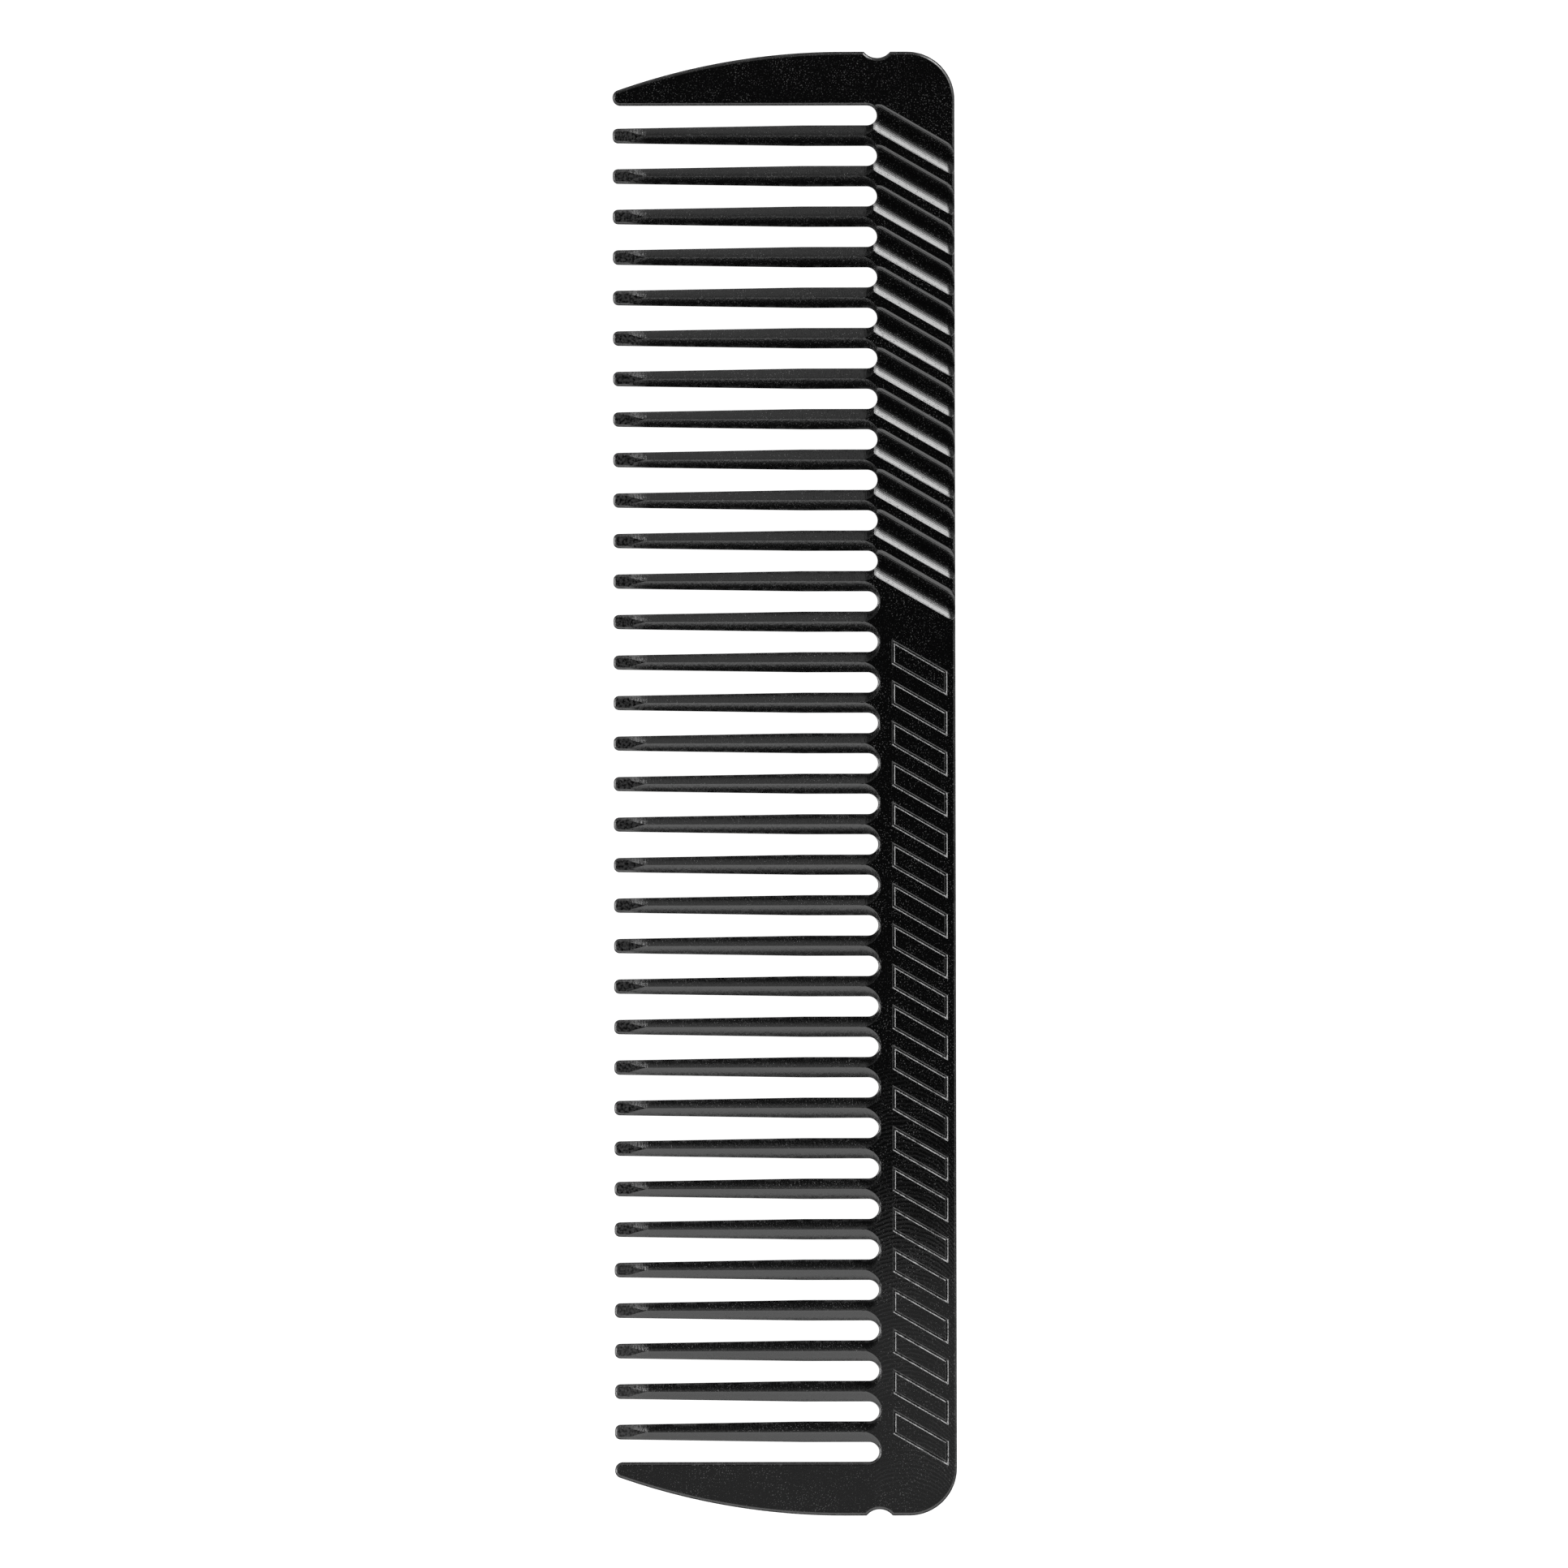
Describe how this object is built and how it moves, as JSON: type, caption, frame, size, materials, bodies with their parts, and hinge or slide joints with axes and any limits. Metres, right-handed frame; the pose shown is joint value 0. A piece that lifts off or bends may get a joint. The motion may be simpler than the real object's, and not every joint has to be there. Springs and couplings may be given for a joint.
{
  "type": "hair comb",
  "caption": "One-piece flat metal pocket comb: tapered teeth between two curved end guards, on a straight spine with slanted flutes at one end and an engraved row of bars.",
  "frame": {"origin": "centre of the comb's outline, on the back face that it lies on", "axes": "+X along the comb, away from its fluted end; +Y from the tooth tips to the spine; +Z out of the fluted front face"},
  "size_m": [0.14, 0.0326, 0.003],
  "materials": {
    "coated_metal": "black anodised, satin, with fine machining marks"
  },
  "bodies": {
    "root": {"spine": "coated_metal", "fluted_end_guard": "coated_metal", "plain_end_guard": "coated_metal", "tooth_01": "coated_metal", "tooth_02": "coated_metal", "tooth_03": "coated_metal", "tooth_04": "coated_metal", "tooth_05": "coated_metal", "tooth_06": "coated_metal", "tooth_07": "coated_metal", "tooth_08": "coated_metal", "tooth_09": "coated_metal", "tooth_10": "coated_metal", "tooth_11": "coated_metal", "tooth_12": "coated_metal", "tooth_13": "coated_metal", "tooth_14": "coated_metal", "tooth_15": "coated_metal", "tooth_16": "coated_metal", "tooth_17": "coated_metal", "tooth_18": "coated_metal", "tooth_19": "coated_metal", "tooth_20": "coated_metal", "tooth_21": "coated_metal", "tooth_22": "coated_metal", "tooth_23": "coated_metal", "tooth_24": "coated_metal", "tooth_25": "coated_metal", "tooth_26": "coated_metal", "tooth_27": "coated_metal", "tooth_28": "coated_metal", "tooth_29": "coated_metal", "tooth_30": "coated_metal", "tooth_31": "coated_metal", "tooth_32": "coated_metal", "tooth_33": "coated_metal"}
  },
  "joints": []
}
